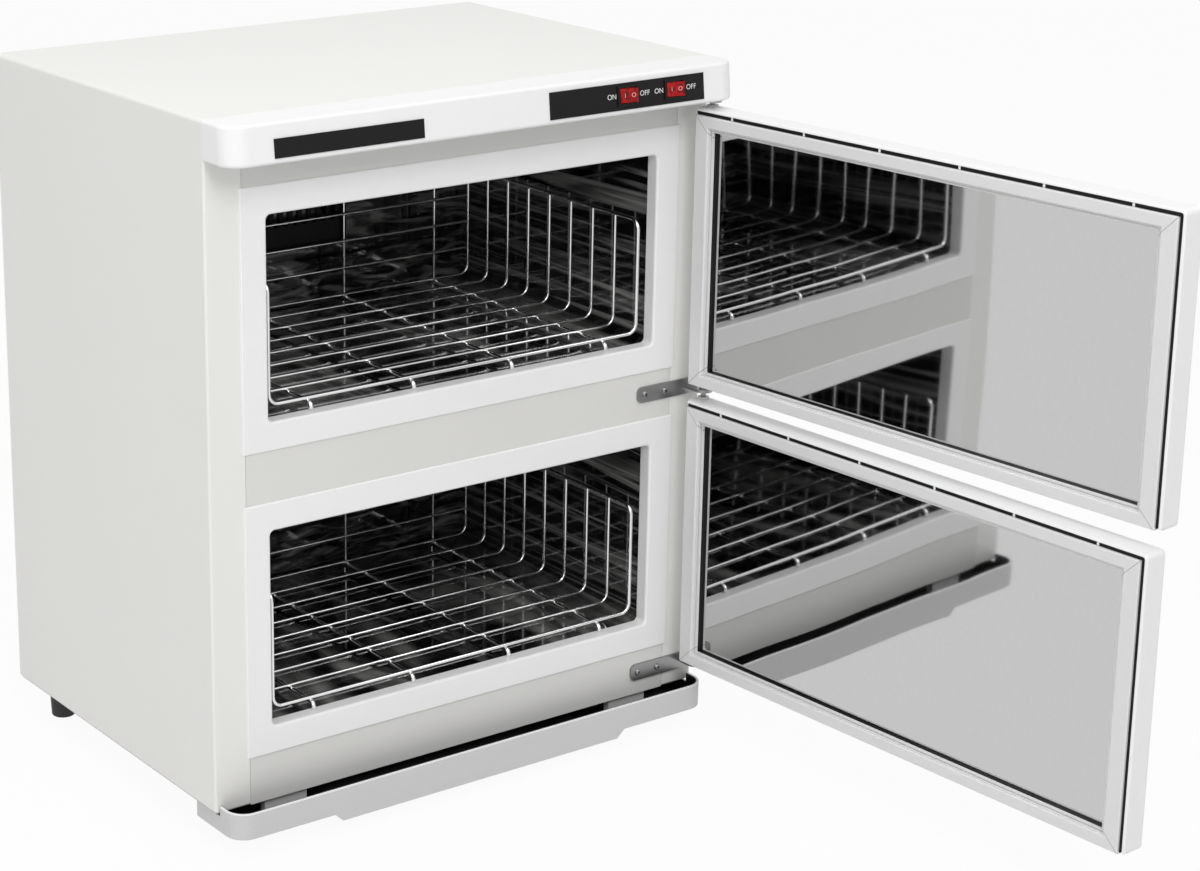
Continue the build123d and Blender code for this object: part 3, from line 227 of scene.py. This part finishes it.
def black_gloss(name):
    """Black polished sheet, slightly wavy, with grey streaks drawn lengthwise painted into its colour
    as reflections.
    """
    finish = Finish(name)
    cloud = finish.noise(14.0)
    streak = finish.step(finish.drawn((18.0, 3.0, 80.0), 2.0, 1.6), 0.44, 0.76)
    waves = finish.drawn((9.0, 4.0, 30.0), 0.0, 0.4)
    # Painted reflection: the grey streaks in the colour stand in for light mirrored in the sheet
    finish.set(Base_Color=finish.tint(streak, grey(0.004), grey(0.30, 0.03)), Coat_Weight=0.6)
    finish.set(Roughness=cloud * 0.06 + 0.05, Normal=finish.bump(waves, 1.0, 0.0012))
    return finish.material


def red_lens(name):
    """Red translucent rocker with a lamp glowing behind it."""
    finish = Finish(name)
    glow = finish.step(finish.noise(330.0), 0.35, 0.65)
    finish.set(Base_Color=finish.tint(glow, (0.10, 0.001, 0.001, 1.0), (0.34, 0.002, 0.003, 1.0)))
    finish.set(Emission_Color=finish.tint(glow, (0.2, 0.0, 0.0, 1.0), (1.0, 0.0, 0.0, 1.0)))
    finish.set(Emission_Strength=0.08, Roughness=0.25, Specular_IOR_Level=0.25)
    return finish.material


def tray_plastic(name):
    """Pale moulded tray whose trough is painted black as shade, apart from its two posts, and whose top
    edge is lightened as a painted highlight.
    """
    finish = Finish(name)
    x, y, z = finish.axes()
    along = abs(x) - (TRAY_HALF - TRAY_ROUND)
    out = -1.0 * y - (TRAY_FRONT - TRAY_ROUND)
    round_part = (along.above(0.0).power(2.0) + out.above(0.0).power(2.0)).power(0.5)
    edge = round_part + along.above(out).below(0.0) - TRAY_ROUND
    # Painted shade: the trough within its walls and above its floor is darkened to near black, apart
    # from the posts
    trough_shade = 1.0 - finish.step(edge, *TROUGH_SHADE_WALL)
    trough_shade = trough_shade * finish.step(z, *TROUGH_SHADE_FLOOR_Z) * (y < TRAY_BACK_Y)
    post = (abs(abs(x) - POST_X) < POST_REACH[0]) * (abs(y - POST_Y) < POST_REACH[1])
    speckle = finish.noise(1200.0)
    pale = finish.tint(speckle, grey(0.575), grey(0.60))
    # Painted highlight: the top edge of the tray is lightened to pale grey
    rim_highlight = finish.step(z, *RIM_HIGHLIGHT_Z) * (y < TRAY_BACK_Y)
    pale = finish.tint(rim_highlight, pale, grey(0.86))
    finish.set(Base_Color=finish.tint(trough_shade * (1.0 - post), pale, grey(0.006)))
    finish.set(Roughness=finish.noise(30.0) * 0.1 + 0.3, Normal=finish.bump(speckle, 0.03, GRAIN_DEEP))
    return finish.material


def door_seal(name, angle, height):
    """Pale seal bars cut at a slant and joined at the corners."""
    finish = Finish(name)
    x, y, z = finish.axes()
    ahead = (x - HINGE_AT[0]) * math.cos(angle) + (y - HINGE_AT[1]) * math.sin(angle)
    from_end = SEAL_HALF_L - abs(ahead - DOOR_MIDDLE)
    from_edge = SEAL_HALF_H - abs(z - height)
    joint = 1.0 - finish.step(abs(from_end - from_edge), *SEAL_JOINT)
    speckle = finish.noise(1200.0)
    pale = finish.tint(speckle, grey(0.70), grey(0.74))
    finish.set(Base_Color=finish.tint(joint, pale, grey(0.22)))
    finish.set(Roughness=finish.noise(30.0) * 0.1 + 0.33, Normal=finish.bump(speckle, 0.03, GRAIN_DEEP))
    return finish.material


def lamp_glass(name):
    """Bluish lamp tube."""
    finish = Finish(name)
    cloud = finish.noise(60.0)
    finish.set(Base_Color=finish.tint(cloud, (0.7, 0.75, 0.9, 1.0), (0.8, 0.85, 0.95, 1.0)))
    finish.set(Roughness=0.05, Transmission_Weight=0.8)
    return finish.material


finishes = {
    "casing_paint": paint("casing paint", 0.80, 0.42),
    # The front panel has the casing's paint; its lower level here is painted shade
    "front_paint": paint("front paint", 0.70, 0.42),
    "white_plastic": moulded("white plastic", grey(0.87), 0.34, depth=0.03),
    "grey_plastic": tray_plastic("tray plastic"),
    "black_plastic": moulded("black plastic", grey(0.010), 0.4, depth=0.04, shine=0.15),
    "dark_plastic": moulded("dark plastic", grey(0.02), 0.5),
    "red_plastic": red_lens("red lens"),
    "black_liner": black_gloss("black liner"),
    "mirror_steel": metal("polished lining", 0.58, 0.03, wave=0.0011, wave_scale=6.5),
    "bright_wire": metal("bright wire", 0.82, 0.14),
    "steel": metal("hinge steel", 0.32, 0.3),
    "galvanised": metal("galvanised sheet", 0.5, 0.5),
    "black_rubber": moulded("black rubber", grey(0.015), 0.6),
    "heater_silicone": moulded("heater silicone", (0.45, 0.1, 0.05, 1.0), 0.6),
    "wool": moulded("mineral wool", (0.7, 0.65, 0.45, 1.0), 0.9, grain=400.0, depth=0.6),
    "foam": moulded("door foam", (0.8, 0.75, 0.6, 1.0), 0.9, grain=600.0, depth=0.4),
    "lamp_glass": lamp_glass("lamp glass"),
    "lamp_ceramic": moulded("lamp ceramic", grey(0.75), 0.4),
    "core_iron": moulded("core iron", grey(0.06), 0.55),
}

for name, node in nodes.items():
    node.data.materials.clear()
    if name in SEALS:
        turned, height = SEALS[name]
        node.data.materials.append(door_seal(name.replace("_", " "), math.radians(turned), height))
    else:
        node.data.materials.append(finishes[slot_of[name]])

# The fascia's face leans back, and signs and plates lie along it
LEAN = math.atan2(3.0, 29.0)
FACE_AT = Vector((0.0, -0.1905, 0.5305))
FACE_OUT = Vector((0.0, -math.cos(LEAN), math.sin(LEAN)))
FACE_UP = Vector((0.0, math.sin(LEAN), math.cos(LEAN)))
ROCKERS = {"heat": 0.117, "lamp": 0.1615}
SIGNS = {"ON": -0.0150, "OFF": 0.0160}
SIGN_SIZE = 0.0054
MARKS = {"I": -0.0036, "O": 0.0036}
MARK_SIZE = 0.0045
PLATE_PROUD = 0.0008
PRINT_T = 0.00006
PRINT_LIFT = 0.00005
RAY_START = 0.02

# Arm width, depth and reach of a screw's cross
CROSS_W = 0.0008
CROSS_DEEP = 0.0003
CROSS_ARM = 0.0014
# Places of the screws, the hinges' with a turn for each column, and the turn gained per metre of height
HINGE_SCREWS = ((0.1685, 0.3), (0.1885, 1.1))
HINGE_SCREW_Z = (0.5125, 0.2825, 0.049)
HINGE_SCREW_Y = -0.15945
HINGE_TURN = 9
REAR_SCREW_X = (-0.218, 0.218)
REAR_SCREW_Z = (0.07, 0.2875, 0.505)
REAR_SCREW_Y = 0.15745
REAR_TURN = 5


def settle(piece, name, body, material):
    """Put a finished piece's place into its mesh and let it ride on its body."""
    bpy.ops.object.select_all(action="DESELECT")
    piece.select_set(True)
    bpy.context.view_layer.objects.active = piece
    bpy.ops.object.transform_apply(location=True, rotation=True, scale=True)
    piece.name = name
    piece.data.materials.clear()
    piece.data.materials.append(material)
    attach(piece, body)


def join(pieces):
    """Make one piece of several."""
    bpy.ops.object.select_all(action="DESELECT")
    for piece in pieces:
        piece.select_set(True)
    bpy.context.view_layer.objects.active = pieces[0]
    bpy.ops.object.join()
    return pieces[0]


def sign(words, x, size):
    """Raised white lettering on the switch plate."""
    place = FACE_AT + FACE_OUT * PLATE_PROUD + Vector((x, 0, 0))
    bpy.ops.object.text_add(location=place, rotation=(math.pi / 2 - LEAN, 0, 0))
    text = bpy.context.object
    text.data.body = words
    text.data.size = size
    text.data.align_x = "CENTER"
    text.data.align_y = "CENTER"
    text.data.extrude = PRINT_T
    bpy.ops.object.convert(target="MESH")
    return bpy.context.object


signs = [sign(words, x + along, SIGN_SIZE) for x in ROCKERS.values() for words, along in SIGNS.items()]
print_white = moulded("printed white", grey(0.8), 0.5)
settle(join(signs), "switch_plate_signs", "cabinet", print_white)


def rocker_marks(use, x):
    """A line and a ring printed on the two halves of a rocker."""
    node = use + "_rocker"
    marks = []
    for words, along in MARKS.items():
        start = FACE_AT + FACE_OUT * RAY_START + Vector((x + along, 0, 0))
        _, at, out, _ = nodes[node].ray_cast(start, -FACE_OUT)
        mark = sign(words, x + along, MARK_SIZE)
        across = FACE_UP.cross(out).normalized()
        upright = out.cross(across)
        turn = Matrix((across, upright, out)).transposed().to_4x4()
        mark.matrix_world = Matrix.Translation(at + out * PRINT_LIFT) @ turn
        marks.append(mark)
    settle(join(marks), node + "_marks", use + "_switch", faded_white)


faded_white = moulded("faded white", (0.75, 0.42, 0.42, 1.0), 0.5)
for use, x in ROCKERS.items():
    rocker_marks(use, x)


def cross(at, turn):
    """Cross recess of a screw head, its four arms drawn out of a small block, which gets a near-black
    finish as painted shade.
    """
    bpy.ops.mesh.primitive_cube_add(size=1, location=at, rotation=(0, turn, 0))
    piece = bpy.context.object
    piece.scale = (CROSS_W, CROSS_DEEP, CROSS_W)
    bpy.ops.object.transform_apply(location=False, rotation=False, scale=True)
    for face in piece.data.polygons:
        face.select = abs(face.normal.y) < 0.5
    bpy.ops.object.mode_set(mode="EDIT")
    bpy.ops.mesh.select_mode(type="FACE")
    bpy.ops.mesh.extrude_faces_move(TRANSFORM_OT_shrink_fatten={"value": CROSS_ARM})
    bpy.ops.object.mode_set(mode="OBJECT")
    return piece


# Painted shade: the crosses are near black, standing in for the shade within the screw heads
recess_shade = moulded("screw recess painted shade", grey(0.03), 0.5)
crosses = []
for x, turn in HINGE_SCREWS:
    for z in HINGE_SCREW_Z:
        crosses.append(cross((x, HINGE_SCREW_Y, z), turn + HINGE_TURN * z))
for x in REAR_SCREW_X:
    for z in REAR_SCREW_Z:
        crosses.append(cross((x, REAR_SCREW_Y, z), REAR_TURN * z))
settle(join(crosses), "screw_cross_recesses", "cabinet", recess_shade)


# Stage: pale floor, white surroundings, soft light
FLOOR_SEEN = 0.94
FLOOR_MIRRORED = 0.97
FLOOR_MATT = 0.8
SKY_LIGHT = 0.47
WHITE = grey(1.0)


def stage_white(name):
    """Nearly white to the camera and in polished metal, with a faint shadow, and matt to all else."""
    finish = Finish(name)
    finish.set(Base_Color=grey(FLOOR_MATT), Roughness=0.9)
    mirrored = finish.ray("Is Glossy Ray")
    colour = finish.tint(mirrored, WHITE, grey(FLOOR_MIRRORED))
    light = finish.node("ShaderNodeEmission", sockets={"Color": colour})
    finish.cover((finish.ray("Is Camera Ray") * FLOOR_SEEN).above(mirrored), light)
    return finish.material


bpy.ops.mesh.primitive_plane_add(size=12, location=(0, 0, 0))
floor = bpy.context.object
floor.name = "studio_floor"
floor.data.materials.append(stage_white("studio floor"))

world = bpy.data.worlds.new("studio surroundings")
bpy.context.scene.world = world
sky = Shader(world, "Background", "World Output")
sky.set(Color=WHITE, Strength=SKY_LIGHT)
shown = sky.node("ShaderNodeBackground", sockets={"Color": WHITE})
sky.cover(sky.ray("Is Camera Ray").above(sky.ray("Is Glossy Ray")), shown)


def lamp(name, at, aim, size, power):
    """Soft square light turned to a point."""
    bpy.ops.object.light_add(type="AREA", location=at)
    light = bpy.context.object
    light.name = name
    light.data.shape = "SQUARE"
    light.data.size = size
    light.data.energy = power
    light.rotation_euler = (Vector(aim) - Vector(at)).to_track_quat("-Z", "Y").to_euler()


lamp("top_softbox", (-0.3, -0.3, 2.4), (0, 0, 0.3), 1.8, 14)
lamp("left_softbox", (-2.4, -0.6, 1.4), (0, 0, 0.3), 1.6, 12)
lamp("front_softbox", (-0.7, -2.3, 2.2), (0, -0.1, 0.3), 1.2, 33)

# Camera at the photograph's place, in metres and degrees
CAMERA_AT = Vector((-1.14753, -1.7389, 0.91443))
AZ, EL, ROLL = math.radians(34.4377), math.radians(16.0280), math.radians(0.0237)
ahead = Vector((math.sin(AZ) * math.cos(EL), math.cos(AZ) * math.cos(EL), -math.sin(EL)))
level = Vector((math.cos(AZ), -math.sin(AZ), 0))
upward = level.cross(ahead)
right = level * math.cos(ROLL) + upward * math.sin(ROLL)
up = upward * math.cos(ROLL) - level * math.sin(ROLL)
bpy.ops.object.camera_add()
camera = bpy.context.object
camera.matrix_world = Matrix((
    (right.x, up.x, -ahead.x, CAMERA_AT.x),
    (right.y, up.y, -ahead.y, CAMERA_AT.y),
    (right.z, up.z, -ahead.z, CAMERA_AT.z),
    (0, 0, 0, 1),
))
camera.data.sensor_width = 36
camera.data.lens = 82.335
camera.data.shift_x = 0.16667
camera.data.shift_y = -0.07875
bpy.context.scene.camera = camera
bpy.context.scene.view_settings.view_transform = "Standard"
